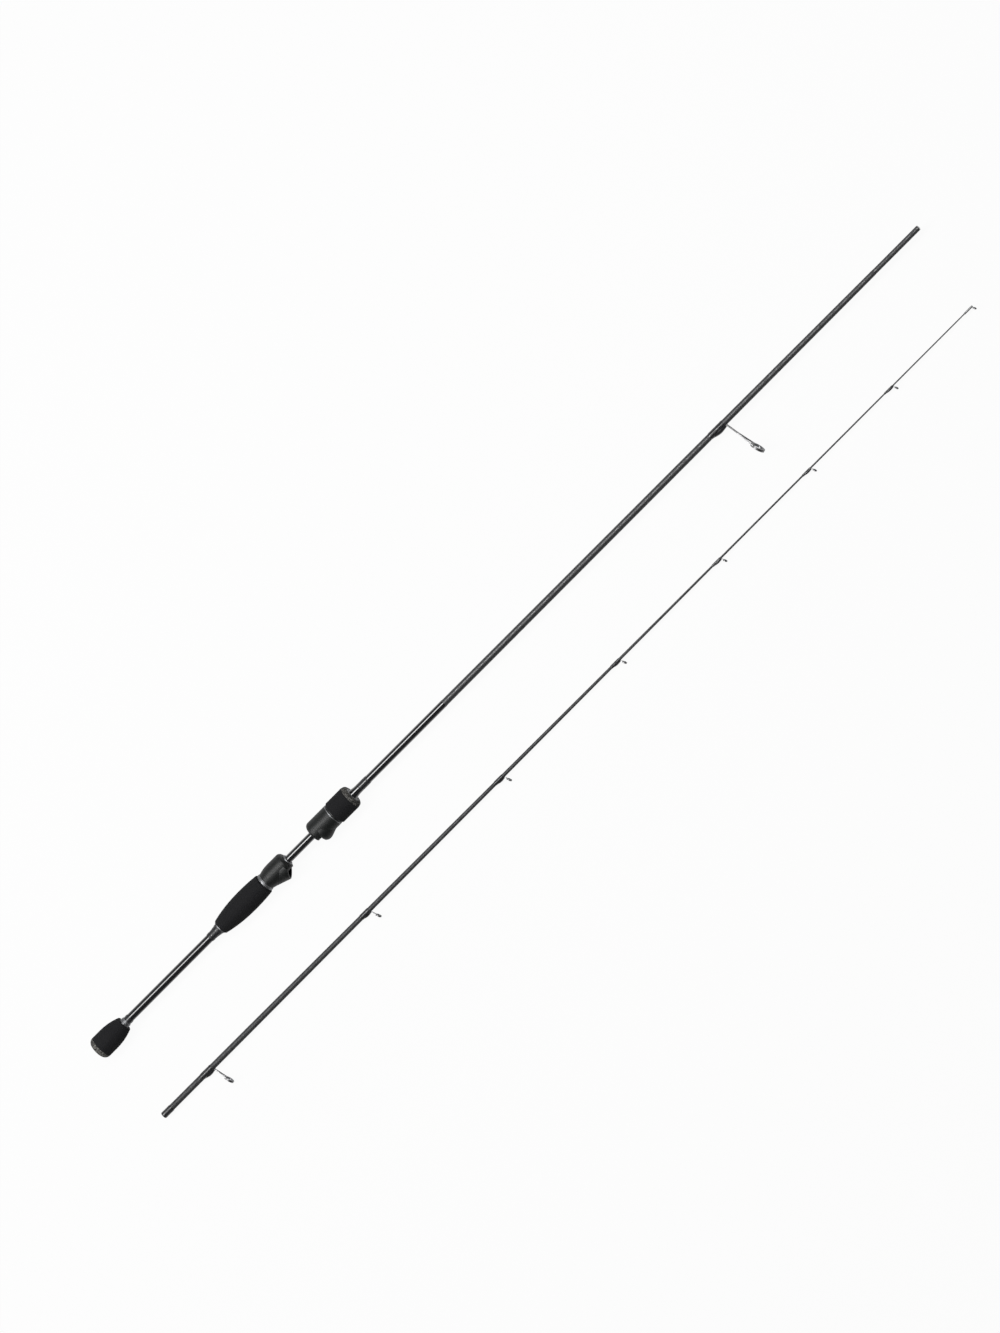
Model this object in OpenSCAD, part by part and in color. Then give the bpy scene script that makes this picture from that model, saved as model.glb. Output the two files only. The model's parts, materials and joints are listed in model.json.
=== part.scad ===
// Two-piece spinning rod, taken apart, with its two sections lying side by side.
// +X runs from the butt to the tip, the guides and the reel side face -Y, and +Z is up.
// The origin is on the butt section's axis, at the flat of its end cap.

/* [Sections] */
// Length of the butt section
butt_section_len = 1028; // [960:1:1100]
// Length of the tip section's blank
tip_section_len = 1011; // [1000:1:1060]
// Distance between the axes of the two sections
section_gap = 79.5; // [75:0.1:120]
// How far the tip section's socket lies ahead of the butt end
tip_section_start = -1; // [-10:1:20]
// Length of the spigot, and of the socket that takes it
ferrule_len = 55; // [40:1:65]
// Diameter of the spigot
spigot_d = 4.7; // [4.4:0.05:4.8]
// Radial clearance of the spigot in its socket
ferrule_clear = 0.03; // [0.02:0.01:0.08]

/* [Handle tube] */
// Length of the glossy handle tube
tube_len = 436; // [400:1:480]
// Diameter of the handle tube at the butt
tube_butt_d = 7.4; // [7.2:0.05:7.8]
// Diameter of the handle tube at its front end
tube_front_d = 6.9; // [6.76:0.02:7.1]
// Bore of the handle tube
tube_bore_d = 5.2; // [4.6:0.1:5.4]
// How deep the butt blank is glued into the handle tube
splice_len = 60; // [40:1:70]

/* [Blanks] */
// Diameter of the butt blank where it leaves the handle tube
blank_rear_d = 6.4; // [6.2:0.02:6.5]
// Wall of the butt blank
butt_wall = 0.8; // [0.6:0.05:1]
// Diameter of the tip blank at its socket
socket_d = 5.6; // [5.5:0.02:5.9]
// Diameter of the tip blank at its thin end
tip_d = 1; // [0.9:0.05:1.2]
// Wall of the tip blank
tip_wall = 0.5; // [0.4:0.05:0.55]

/* [Butt knob] */
// Thickness of the end cap
cap_len = 5.4; // [5.2:0.1:6.6]
// Largest diameter of the knob
knob_d = 21.4; // [20:0.1:22]
// Length of the foam knob
knob_len = 28.7; // [25:0.1:38]
// How much thinner the knob is at its front edge
knob_drop = 6.8; // [4:0.2:8]
// Edge radius of the end cap
cap_edge_r = 5; // [3:0.2:5.2]
// Length of the stem that plugs the tube
stem_len = 18; // [10:1:25]

/* [Rear grip] */
// Free length of the tube between knob and rear grip, with the fittings on it
handle_gap = 121.3; // [100:0.1:150]
// Length of the rear grip
rear_grip_len = 54.6; // [45:0.2:65]
// Largest diameter of the rear grip
rear_grip_d = 21.4; // [20:0.1:22.2]
// How much thinner the grip is at its rear edge
rear_grip_rear_drop = 7; // [4:0.2:8]
// How much thinner the grip is at its front edge
rear_grip_front_drop = 2; // [1:0.2:3]
// Share of the grip's length behind its thickest place
rear_grip_peak = 0.62; // [0.5:0.01:0.75]
// Length of the cone behind the grip
grip_cone_len = 12.4; // [8:0.2:16]

/* [Checks and windings] */
// Diameter of the bright check in front of the knob
butt_check_d = 9.6; // [9:0.1:11]
// Thickness of the thin bright rings
ring_len = 0.9; // [0.6:0.1:1.2]
// Length of the check in front of the knob
butt_check_len = 3.8; // [3:0.1:5]
// Length of the winding in front of the knob
butt_winding_len = 4; // [3:0.1:6]
// Build-up of a winding over the blank
winding_build = 0.3; // [0.2:0.05:0.4]
// Length of the domed ring between rear grip and hood
trim_ring_len = 3.1; // [2.6:0.1:4]
// Length of the trumpet in front of the fore grip
front_cone_len = 8.6; // [7:0.1:12]
// Length of the winding in front of the trumpet
front_winding_len = 11; // [8:0.5:16]

/* [Reel seat] */
// Length of the rear hood
rear_hood_len = 25.8; // [25:0.1:28]
// Diameter of the rear hood's body
rear_hood_d = 19.6; // [19:0.1:20.4]
// Clear length of tube between the two hoods with the seat open
seat_gap = 32.6; // [26:0.2:36]
// Length of the front hood
front_hood_len = 24.8; // [24:0.1:27]
// Diameter of the front hood's body
front_hood_d = 20.8; // [20.4:0.1:21.4]
// Wall of the lips over the reel foot
lip_wall = 1.2; // [1:0.1:1.4]
// Radius of the floor that the reel foot rests on
foot_floor_r = 7.1; // [6.9:0.05:7.3]
// Height of the rear lip's outside above the rod's axis
rear_lip_h = 13.4; // [13.2:0.1:14]
// Height of the front lip's outside above the rod's axis
front_lip_h = 13; // [12.8:0.1:13.6]
// Diameter of the threaded barrel over its thread
barrel_d = 11.2; // [10.8:0.1:11.6]
// Pitch of the barrel's thread
thread_pitch = 1.5; // [1.2:0.1:2]
// Depth of the barrel's thread
thread_depth = 0.5; // [0.3:0.05:0.6]
// Travel of the front hood from open to clamped
hood_travel = 12; // [8:0.5:12]
// Radial running clearance of hood and nut on the barrel
barrel_clear = 0.1; // [0.08:0.01:0.15]
// Width of the keyway in the barrel
keyway_w = 2; // [1.6:0.1:2.4]

/* [Fore grip] */
// Length of the foam fore grip
foregrip_len = 19.5; // [16:0.1:26]
// Diameter of the fore grip
foregrip_d = 22.2; // [21.6:0.1:23]
// Length of the rounded cap in front of it
foregrip_cap_len = 3.4; // [3.2:0.1:5]
// Diameter of the nut's sleeve under the foam
nut_sleeve_d = 16; // [15:0.2:17]

/* [Guides] */
// Where the stripper guide's foot ends, from the butt
stripper_at = 786; // [760:0.2:840]
// Outer diameter of the stripper's ring
stripper_ring_d = 13.4; // [13:0.1:15]
// Reach of the stripper guide from the blank's axis to its far edge
stripper_reach = 41.7; // [36:0.1:45]
// Lean of the two forked guide frames towards the tip
fork_lean = 9; // [6:0.5:12]
// Lean of the micro guide frames towards the tip
micro_lean = 17; // [9:0.5:20]
// How much further the rings lean than their frames
ring_tilt = 6; // [3:0.5:8]
// Where the tip section's guide feet end, as shares of its length
tip_guide_share = [0.061, 0.256, 0.422, 0.566, 0.691, 0.802, 0.903]; // [0.04:0.001:0.95]
// Outer diameters of the tip section's rings
tip_ring_d = [9, 5.4, 4.8, 4.2, 3.9, 3.7, 3.5]; // [3.3:0.1:10]
// Reach of the tip section's guides from the axis to the far edge
tip_guide_reach = [22.2, 11.6, 8.3, 6.9, 6.1, 5.6, 5.3]; // [5:0.1:24]
// Outer diameter of the tip-top's ring
tip_top_ring_d = 3.4; // [3.2:0.1:4]
// Length of the tip-top's tube
tip_top_tube_len = 9; // [7:0.5:12]

/* [Hidden] */
$fn = 64;
eps = 0.01;
far = 60;

foam = "#1e1e20";
rubber_cork = "#57534e";
bright = "#b9bcc0";
gloss_black = "#0c0c0e";
carbon = "#3a3c3f";
soft_plastic = "#464a49";
titanium = "#8d9094";
ceramic = "#33363a";

// Stations along the butt section, each built on the one behind it.
knob_x = cap_len;
butt_check_x = knob_x + knob_len;
butt_winding_x = butt_check_x + butt_check_len;
rear_grip_x = butt_check_x + handle_gap;
grip_check_x = rear_grip_x - ring_len;
grip_cone_x = grip_check_x - grip_cone_len;
trim_ring_x = rear_grip_x + rear_grip_len;
rear_hood_x = trim_ring_x + trim_ring_len;
rear_face_x = rear_hood_x + rear_hood_len;
front_face_x = rear_face_x + seat_gap;
hood_ring_x = front_face_x + front_hood_len;
flange_gap = 0.3;
flange_x = hood_ring_x + ring_len + flange_gap;
flange_len = 1;
foregrip_x = flange_x + flange_len;
foregrip_cap_x = foregrip_x + foregrip_len;
foregrip_end_x = foregrip_cap_x + foregrip_cap_len;
barrel_x = front_face_x + 2;
barrel_end_x = foregrip_end_x - 2;
front_cone_x = barrel_end_x;
front_cone_end_x = foregrip_end_x + front_cone_len;
spigot_x = butt_section_len - ferrule_len;

// Outlines of the blanks: station, radius.
blank_mid_share = 0.57;
blank_mid_r = 2.98;
blank_shoulder_r = 2.47;
shoulder_len = 1.5;
blank_mid_x = tube_len + blank_mid_share * (butt_section_len - tube_len - ferrule_len);
butt_outline = [
    [tube_len - splice_len, blank_rear_d / 2],
    [tube_len, blank_rear_d / 2],
    [blank_mid_x, blank_mid_r],
    [spigot_x - shoulder_len, blank_shoulder_r],
    [spigot_x, spigot_d / 2],
    [butt_section_len - ring_len, spigot_d / 2]
];
tip_hollow_share = 0.5;
tip_taper = [
    [0.11, 2.7], [0.223, 2.36], [0.342, 1.95], [tip_hollow_share, 1.45], [0.714, 0.85]
];
tip_outline = concat(
    [[0, socket_d / 2]],
    [for (p = tip_taper) [p[0] * tip_section_len, p[1]]],
    [[tip_section_len, tip_d / 2]]
);
tip_hollow_end = tip_hollow_share * tip_section_len;

tube_r_butt = tube_butt_d / 2;
tube_r_front = tube_front_d / 2;
barrel_bore_r = barrel_d / 2 + barrel_clear;
thread_crest = 0.35;

// Resting height: the fore grip and the largest ring of the tip section touch the floor.
floor_z = -foregrip_d / 2;
tip_axis_z = floor_z + tip_ring_d[0] / 2;

function tube_r(x) = tube_r_butt + (tube_r_front - tube_r_butt) * x / tube_len;
function butt_r(x) = lookup(x, butt_outline);
function tip_r(x) = lookup(x, tip_outline);

// Gauge of the guides' metal, and the length of their feet.
stripper_gauge = 1;
stripper_foot_len = 14;
fork_gauge = 0.75;
fork_foot_len = 9.2;
micro_gauge = 0.5;
micro_foot_len = 6.7;
// Share of a forked guide's free height below the parting of its legs
stripper_split = 0.42;
fork_split = 0.05;

// Tip-top: its tube, and its ring as a guide (see Guides).
tip_top_x = tip_section_len - tip_top_tube_len;
tip_top_wall = 0.35;
tip_top_r = tip_r(tip_top_x) + tip_top_wall;
tip_top_end = 0.8;
tip_top_reach = 4.2;
tip_top_foot_len = 1;
tip_top_lean = 22;
tip_top = [
    tip_section_len, tip_top_r - 0.2, tip_top_ring_d, tip_top_reach, tip_top_foot_len,
    micro_gauge, tip_top_lean
];

// Seat of the bright ring in the fore grip's cap.
cap_seat_r = 6.9;

// Points of an arc about c, from angle a0 to a1.
function arc(c, r, a0, a1, n = 8) =
    [for (i = [0:n]) let (a = a0 + (a1 - a0) * i / n) c + r * [cos(a), sin(a)]];

// Radius of a turned grip that falls off by drop between its thickest place and its end.
function swell(x, peak_x, end_x, peak_r, drop, power) =
    peak_r - drop * pow(abs((x - peak_x) / (end_x - peak_x)), power);

// Solid of revolution about the X axis, from an outline of [x, radius] points.
module turned(outline) {
    rotate([0, 90, 0])
        rotate_extrude()
            polygon([for (p = outline) [p[1], p[0]]]);
}

// Solid of revolution under an open outline, down to the axis.
module turned_solid(outline) {
    last = outline[len(outline) - 1];
    turned(concat([[outline[0][0], 0]], outline, [[last[0], 0]]));
}

// Cylinder about the X axis from x0 to x1.
module rod(x0, x1, r) {
    translate([x0, 0, 0])
        rotate([0, 90, 0])
            cylinder(h = x1 - x0, r = r);
}

// The handle tube's outside, for everything that seats on it.
module tube_core() {
    turned_solid([[-eps, tube_r(-eps)], [tube_len, tube_r_front]]);
}

// Ring on the handle tube, from an outer outline.
module on_tube(outline) {
    difference() {
        turned_solid(outline);
        tube_core();
    }
}

// ---- Butt knob ----

module butt_cap() {
    r = knob_d / 2;
    color(rubber_cork)
        union() {
            turned_solid(concat(
                [[0, r - cap_edge_r]],
                arc([cap_edge_r, r - cap_edge_r], cap_edge_r, 180, 90),
                [[cap_len, r]]
            ));
            rod(cap_len - eps, cap_len + stem_len, tube_bore_d / 2);
        }
}

module butt_grip() {
    r = knob_d / 2;
    steps = 18;
    peak_x = knob_x + 0.28 * knob_len;
    edge = 0.8;
    end_x = butt_check_x - edge;
    color(foam)
        on_tube(concat(
            [[knob_x, r]],
            [for (i = [0:steps])
                let (x = peak_x + (end_x - peak_x) * i / steps)
                [x, swell(x, peak_x, end_x, r, knob_drop / 2, 2.2)]],
            arc([end_x, r - knob_drop / 2 - edge], edge, 90, 0, 5)
        ));
}

module butt_check() {
    r = butt_check_d / 2;
    groove = 0.35;
    step = butt_check_len / 4;
    color(bright)
        on_tube([
            [butt_check_x, r], [butt_check_x + step, r],
            [butt_check_x + 1.3 * step, r - groove],
            [butt_check_x + 2 * step, r - groove],
            [butt_check_x + 2.4 * step, r - 0.3 * groove],
            [butt_check_x + butt_check_len, r - 2 * groove]
        ]);
}

module butt_winding() {
    winding_on_tube(butt_winding_x, butt_winding_len, 1.4 * winding_build);
}

// Band of thread and resin on the tube, with feathered ends.
module winding_on_tube(x, length, build) {
    ramp = 1.2;
    color(gloss_black)
        on_tube([
            [x, tube_r(x) + 0.5 * build],
            [x + ramp, tube_r(x) + build],
            [x + length - ramp, tube_r(x + length) + build],
            [x + length, tube_r(x + length) + 0.2 * build]
        ]);
}

// ---- Handle tube ----

module handle_tube() {
    lip = 0.12;
    splice_x = tube_len - splice_len;
    color(gloss_black)
        turned([
            [cap_len, tube_bore_d / 2],
            [cap_len, tube_r(cap_len)],
            [tube_len - lip, tube_r(tube_len - lip)],
            [tube_len, tube_r_front - lip],
            [tube_len, blank_rear_d / 2],
            [splice_x, blank_rear_d / 2],
            [splice_x, tube_bore_d / 2]
        ]);
}

// ---- Rear grip ----

module grip_cone() {
    x = grip_cone_x;
    r0 = tube_r(x) + 0.35;
    r1 = 5.5;
    collar = 2.2;
    nick = 0.5;
    steps = 10;
    color(gloss_black)
        on_tube(concat(
            [[x, r0], [x + collar, r0 + 0.15], [x + collar + nick, r0 - 0.1]],
            [for (i = [0:steps])
                let (u = i / steps)
                [x + collar + 2 * nick + u * (grip_cone_len - collar - 2 * nick),
                    r0 + (r1 - r0) * pow(u, 1.5)]]
        ));
}

module grip_check() {
    r = 6.2;
    color(bright)
        on_tube([
            [grip_check_x, r - 0.3],
            [grip_check_x + 0.3 * ring_len, r],
            [grip_check_x + ring_len, r]
        ]);
}

module rear_grip() {
    r = rear_grip_d / 2;
    peak_x = rear_grip_x + rear_grip_peak * rear_grip_len;
    edge = 1;
    rear_x = rear_grip_x + edge;
    front_x = trim_ring_x - edge;
    steps = 16;
    rear_r = r - rear_grip_rear_drop / 2;
    front_r = r - rear_grip_front_drop / 2;
    color(foam)
        on_tube(concat(
            arc([rear_x, rear_r - edge], edge, 180, 100, 5),
            [for (i = [0:steps])
                let (x = rear_x + (peak_x - rear_x) * i / steps)
                [x, swell(x, peak_x, rear_x, r, rear_grip_rear_drop / 2, 2.2)]],
            [for (i = [1:steps])
                let (x = peak_x + (front_x - peak_x) * i / steps)
                [x, swell(x, peak_x, front_x, r, rear_grip_front_drop / 2, 2)]],
            arc([front_x, front_r - edge], edge, 80, 0, 5)
        ));
}

module trim_ring() {
    top_r = 8.7;
    dome_h = 0.4 * trim_ring_len;
    base_r = top_r - dome_h;
    color(bright)
        on_tube(concat(
            [[trim_ring_x, base_r]],
            [for (i = [0:12])
                let (u = i / 12)
                [trim_ring_x + u * trim_ring_len,
                    base_r + dome_h * (0.55 + 0.45 * sin(180 * u))]]
        ));
}

// ---- Reel seat ----

// Everything on the mouth side of the slanted mouth, outside the floor that the foot rests on.
// The mouth opens towards +X at rim_x, where its rim is rim_h from the axis.
module mouth_cut(rim_x, rim_h, slope, top_y) {
    difference() {
        translate([0, 0, -far / 2])
            linear_extrude(far)
                polygon([
                    [rim_x - slope * (far / 2 - rim_h), -far / 2],
                    [rim_x + slope * (rim_h + top_y), top_y],
                    [rim_x + far, top_y],
                    [rim_x + far, -far / 2]
                ]);
        rod(-far, rim_x + 2 * far, foot_floor_r);
    }
}

// Crescent pocket under a lip: outline is the pocket's roof, about an axis shifted by offset.
module foot_pocket(outline, offset, top_y) {
    x0 = outline[0][0];
    x1 = outline[len(outline) - 1][0];
    difference() {
        translate([0, -offset, 0])
            turned_solid(outline);
        rod(x0 - 1, x1 + 1, foot_floor_r);
        translate([x0 - 1, top_y, -far / 2])
            cube([x1 - x0 + 2, far, far]);
    }
}

// Rear hood in its own frame: X from its rear end, mouth towards +X.
module rear_hood() {
    r = rear_hood_d / 2;
    nose_r = 3.6;
    lip_off = 3.5;
    lip_r = rear_lip_h - lip_off;
    rim_x = rear_hood_len - 9;
    lip_x = 3.6;
    lip_rear_r = 5.6;
    back_x = 8;
    lip_slope = (lip_r - lip_rear_r) / (rim_x - lip_x);
    mouth_slope = 0.8;
    side_y = -3.6;
    neck_r = 8.1;
    waist_x = 11;
    steps = 8;
    color(soft_plastic)
        translate([rear_hood_x, 0, 0])
            difference() {
                union() {
                    turned_solid(concat(
                        [for (i = [0:steps])
                            let (x = waist_x * i / steps)
                            [x, swell(x, waist_x, 0, r, r - neck_r, 2)]],
                        arc([rear_hood_len - nose_r, r - nose_r], nose_r, 90, 12)
                    ));
                    translate([0, -lip_off, 0])
                        turned_solid([
                            [lip_x, lip_rear_r], [rim_x, lip_r],
                            [rear_hood_len - nose_r, lip_r]
                        ]);
                }
                mouth_cut(rim_x, rear_lip_h, mouth_slope, side_y);
                foot_pocket([
                        [back_x, lip_rear_r + lip_slope * (back_x - lip_x) - lip_wall],
                        [rim_x, lip_r - lip_wall],
                        [rear_hood_len, lip_r - lip_wall]
                    ], lip_off, side_y - 0.8);
                translate([-rear_hood_x, 0, 0])
                    tube_core();
            }
}

module rear_hood_ring() {
    x = rear_face_x;
    r = 5.2;
    color(bright)
        on_tube(concat([[x, r]], arc([x + ring_len, r - 0.6], 0.6, 90, 0, 5)));
}

module thread_barrel() {
    r = barrel_d / 2;
    plain = 3;
    thread_x = barrel_x + plain;
    turns = floor((barrel_end_x - plain - thread_x) / thread_pitch);
    flank = (thread_pitch - 2 * thread_crest) / 2;
    keyway_depth = 0.9;
    color(soft_plastic)
        difference() {
            on_tube(concat(
                [[barrel_x, r]],
                [for (i = [0:turns - 1], k = [0:3])
                    let (x = thread_x + i * thread_pitch)
                    [[x, r], [x + flank, r - thread_depth],
                        [x + flank + thread_crest, r - thread_depth],
                        [x + 2 * flank + thread_crest, r]][k]],
                [[barrel_end_x, r]]
            ));
            translate([barrel_x - 1, r - keyway_depth, -keyway_w / 2])
                cube([barrel_end_x - barrel_x + 2, far, keyway_w]);
        }
}

// Front hood in its own frame: X from its mouth side, mouth towards -X.
module front_hood() {
    r = front_hood_d / 2;
    nose_r = 4;
    lip_off = 2.5;
    peak_x = 9;
    lip_end_x = 20;
    back_x = 18;
    rim_x = 5;
    rim_drop = 1.1;
    mouth_slope = 0.57;
    side_y = -3.4;
    steps = 8;
    counterbore_x = front_hood_len - 3.4;
    key_clear = 0.1;
    key_h = 0.7;
    key_sunk = 0.3;
    peak_r = front_lip_h - lip_off;
    roof_r = peak_r - 1.25 * lip_wall;
    flare = peak_r - (r - lip_off);
    color(soft_plastic)
        translate([front_face_x, 0, 0]) {
            difference() {
                union() {
                    turned_solid(concat(
                        arc([nose_r, r - nose_r], nose_r, 168, 90),
                        [[front_hood_len, r]]
                    ));
                    translate([0, -lip_off, 0])
                        turned_solid(concat(
                            [for (i = [-steps:0])
                                let (u = i / steps)
                                [peak_x + u * (peak_x - nose_r), peak_r - 2.6 * rim_drop * u * u]],
                            [for (i = [1:steps])
                                let (u = i / steps)
                                [peak_x + u * (lip_end_x - peak_x),
                                    peak_r - flare * (1 - cos(180 * u)) / 2 - 0.1 * u]]
                        ));
                }
                mirror([1, 0, 0])
                    mouth_cut(-rim_x, front_lip_h - rim_drop, mouth_slope, side_y);
                foot_pocket([
                        [0, roof_r],
                        [peak_x + 1.5, roof_r],
                        [back_x, r - lip_off - lip_wall]
                    ], lip_off, side_y - 0.8);
                rod(-1, front_hood_len + 1, barrel_bore_r);
                rod(counterbore_x, front_hood_len + 1, nut_sleeve_d / 2 + barrel_clear);
            }
            // key that keeps the hood from turning on the barrel
            translate([2.5, barrel_d / 2 - key_h, key_clear - keyway_w / 2])
                cube([counterbore_x - 3, key_h + barrel_clear + key_sunk,
                    keyway_w - 2 * key_clear]);
        }
}

module hood_ring() {
    r = front_hood_d / 2;
    neck_r = nut_sleeve_d / 2 - 1;
    boss = 1.2;
    color(bright)
        turned([
            [hood_ring_x - boss, neck_r + barrel_clear],
            [hood_ring_x - boss, nut_sleeve_d / 2 + barrel_clear],
            [hood_ring_x, nut_sleeve_d / 2 + barrel_clear],
            [hood_ring_x, r],
            [hood_ring_x + 0.7 * ring_len, r],
            [hood_ring_x + ring_len, r - 0.3],
            [hood_ring_x + ring_len, neck_r + barrel_clear]
        ]);
}

module lock_nut() {
    neck_r = nut_sleeve_d / 2 - 1;
    collar_x = hood_ring_x - 3.2;
    collar_len = 1.8;
    color(soft_plastic)
        turned([
            [collar_x, barrel_bore_r],
            [collar_x, nut_sleeve_d / 2],
            [collar_x + collar_len, nut_sleeve_d / 2],
            [collar_x + collar_len, neck_r],
            [flange_x, neck_r],
            [flange_x, front_hood_d / 2 - 0.4],
            [foregrip_x, front_hood_d / 2 - 0.4],
            [foregrip_x, nut_sleeve_d / 2],
            [foregrip_cap_x, nut_sleeve_d / 2],
            [foregrip_cap_x, barrel_bore_r]
        ]);
}

// ---- Fore grip ----

module foregrip() {
    r = foregrip_d / 2;
    edge = 0.9;
    color(foam)
        turned(concat(
            [[foregrip_x, nut_sleeve_d / 2]],
            arc([foregrip_x + edge, r - edge], edge, 180, 90, 5),
            arc([foregrip_cap_x - edge / 2, r - edge / 2], edge / 2, 90, 0, 4),
            [[foregrip_cap_x, nut_sleeve_d / 2]]
        ));
}

module foregrip_cap() {
    r = foregrip_d / 2 - 0.3;
    edge = 3;
    recess = ring_len;
    color(rubber_cork)
        turned(concat(
            [[foregrip_cap_x, barrel_bore_r], [foregrip_cap_x, r]],
            arc([foregrip_end_x - edge, r - edge], edge, 90, 8),
            [[foregrip_end_x, cap_seat_r], [foregrip_end_x - recess, cap_seat_r],
                [foregrip_end_x - recess, barrel_bore_r]]
        ));
}

module foregrip_check() {
    proud = 0.4;
    x = foregrip_end_x - ring_len;
    color(bright)
        turned([
            [x, barrel_bore_r],
            [x, cap_seat_r],
            [foregrip_end_x, cap_seat_r],
            [foregrip_end_x + proud, cap_seat_r - proud],
            [foregrip_end_x + proud, barrel_bore_r + 0.3],
            [foregrip_end_x, barrel_bore_r]
        ]);
}

module front_cone() {
    x = front_cone_x;
    flange_r = barrel_d / 2 - 0.2;
    steps = 12;
    end_r = tube_r(front_cone_end_x) + 0.35;
    flange_end = foregrip_end_x;
    color(gloss_black)
        on_tube(concat(
            [[x, flange_r], [flange_end, flange_r]],
            [for (i = [0:steps])
                let (u = i / steps)
                [flange_end + u * (front_cone_end_x - flange_end),
                    end_r + (flange_r - 0.2 - end_r) * pow(1 - u, 3)]]
        ));
}

module front_winding() {
    winding_on_tube(front_cone_end_x, front_winding_len, winding_build);
}

// ---- Butt blank ----

module butt_core() {
    turned_solid(butt_outline);
}

module butt_blank() {
    n = len(butt_outline) - 1;
    inner = [for (i = [n:-1:0]) [butt_outline[i][0], butt_outline[i][1] - butt_wall]];
    color(carbon)
        turned(concat(butt_outline, inner));
}

module spigot_plug() {
    x = butt_section_len - ring_len;
    plug_len = 8;
    color(gloss_black)
        turned_solid([
            [x - plug_len, spigot_d / 2 - butt_wall], [x, spigot_d / 2 - butt_wall],
            [x, spigot_d / 2], [butt_section_len - 0.4, spigot_d / 2],
            [butt_section_len, spigot_d / 2 - 0.4]
        ]);
}

// ---- Guides ----
// A guide is described by [at, blank radius, ring diameter, reach, foot length, gauge, lean].

function guide_1() =
    [stripper_at, butt_r(stripper_at), stripper_ring_d, stripper_reach,
        stripper_foot_len, stripper_gauge, fork_lean];
function tip_guide(i) =
    let (at = tip_guide_share[i] * tip_section_len)
    concat(
        [at, tip_r(at), tip_ring_d[i], tip_guide_reach[i]],
        i == 0 ? [fork_foot_len, fork_gauge, fork_lean] : [micro_foot_len, micro_gauge, micro_lean]
    );

function ring_lean(g) = g[6] + ring_tilt;
function ring_centre(g) =
    let (away = g[3] - g[2] / 2 * cos(ring_lean(g)))
    [g[0] + (away - g[1]) * tan(g[6]), -away];
// Distance from the frame's root, on the blank's surface, to the middle of its ring.
function rise(g) =
    let (c = ring_centre(g))
    norm([c[0] - g[0], c[1] + g[1]]);
function band_len(g) = 0.5 + 0.11 * g[2];
function band_wall(g) = 0.25 + 0.02 * g[2];
function ring_bore_r(g) = g[2] / 2 - band_wall(g) - 0.11 * g[2];

// Places children in the guide's own plane: X across, Y away from the blank, Z along the rod.
module guide_plane(x, y, lean) {
    translate([x, y, 0])
        rotate([0, -90, 180 + lean])
            children();
}

// Half the foot's width, kept narrower than the blank.
function foot_half(g) = min(1.25 * g[5], 0.8 * g[1]);

// Foot that lies along the blank, ground thin and pointed towards its rear end.
module guide_foot(g) {
    foot_len = g[4];
    gauge = g[5];
    half = foot_half(g);
    front = 0.6 * gauge;
    top = g[1] + gauge;
    translate([g[0], 0, 0])
        intersection() {
            rotate([90, 0, 0])
                linear_extrude(far)
                    polygon([
                        [-foot_len, -0.4 * half], [-0.3 * foot_len, -half], [front, -half],
                        [front, half], [-0.3 * foot_len, half], [-foot_len, 0.4 * half]
                    ]);
            translate([0, 0, -half - 1])
                linear_extrude(2 * half + 2)
                    polygon([
                        [-foot_len - 1, 0], [-foot_len - 1, -g[1] - 0.1 * gauge],
                        [-0.3 * foot_len, -top], [0.2 * gauge, -top],
                        [front, -top + 0.5 * gauge], [front, 0]
                    ]);
        }
}

// The band that holds the ring, and the bore through it.
module guide_band(g) {
    c = ring_centre(g);
    guide_plane(c[0], c[1], ring_lean(g))
        cylinder(h = band_len(g), r = g[2] / 2, center = true);
}

module guide_band_bore(g) {
    c = ring_centre(g);
    guide_plane(c[0], c[1], ring_lean(g))
        cylinder(h = far, r = g[2] / 2 - band_wall(g), center = true);
}

// Frame: foot, a strap that parts into two legs, and the band that holds the ring.
// The children are cut from it, so that it sits on the blank.
module guide_frame_at_origin(g, split) {
    gauge = g[5];
    leg_w = 1.3 * gauge;
    band_r = g[2] / 2;
    root_v = -0.2;
    split_v = 0.8 * gauge + split * (rise(g) - band_r);
    top_v = rise(g) - 0.2 * band_r;
    top_u = 0.9 * band_r;
    difference() {
        union() {
            guide_foot(g);
            guide_plane(g[0], -g[1], g[6])
                translate([0, 0, -gauge / 2])
                    linear_extrude(gauge)
                        difference() {
                            polygon([
                                [-leg_w, root_v], [leg_w, root_v], [leg_w, split_v],
                                [top_u, top_v], [-top_u, top_v], [-leg_w, split_v]
                            ]);
                            polygon([
                                [0, split_v + 0.6 * leg_w], [top_u - leg_w, top_v - 0.1],
                                [leg_w - top_u, top_v - 0.1]
                            ]);
                        }
            guide_band(g);
        }
        guide_band_bore(g);
        children();
    }
}

// Micro guide frame: foot, one widening strap, and the band that holds the ring.
module micro_frame_at_origin(g) {
    gauge = g[5];
    band_r = g[2] / 2;
    root_v = -0.1;
    top_v = rise(g) - 0.75 * band_r;
    half = foot_half(g);
    difference() {
        union() {
            guide_foot(g);
            guide_plane(g[0], -g[1], g[6])
                translate([0, 0, -gauge / 2])
                    linear_extrude(gauge)
                        polygon([
                            [-0.9 * half, root_v], [0.9 * half, root_v],
                            [0.5 * band_r, top_v], [-0.5 * band_r, top_v]
                        ]);
            guide_band(g);
        }
        guide_band_bore(g);
        children();
    }
}

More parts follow.
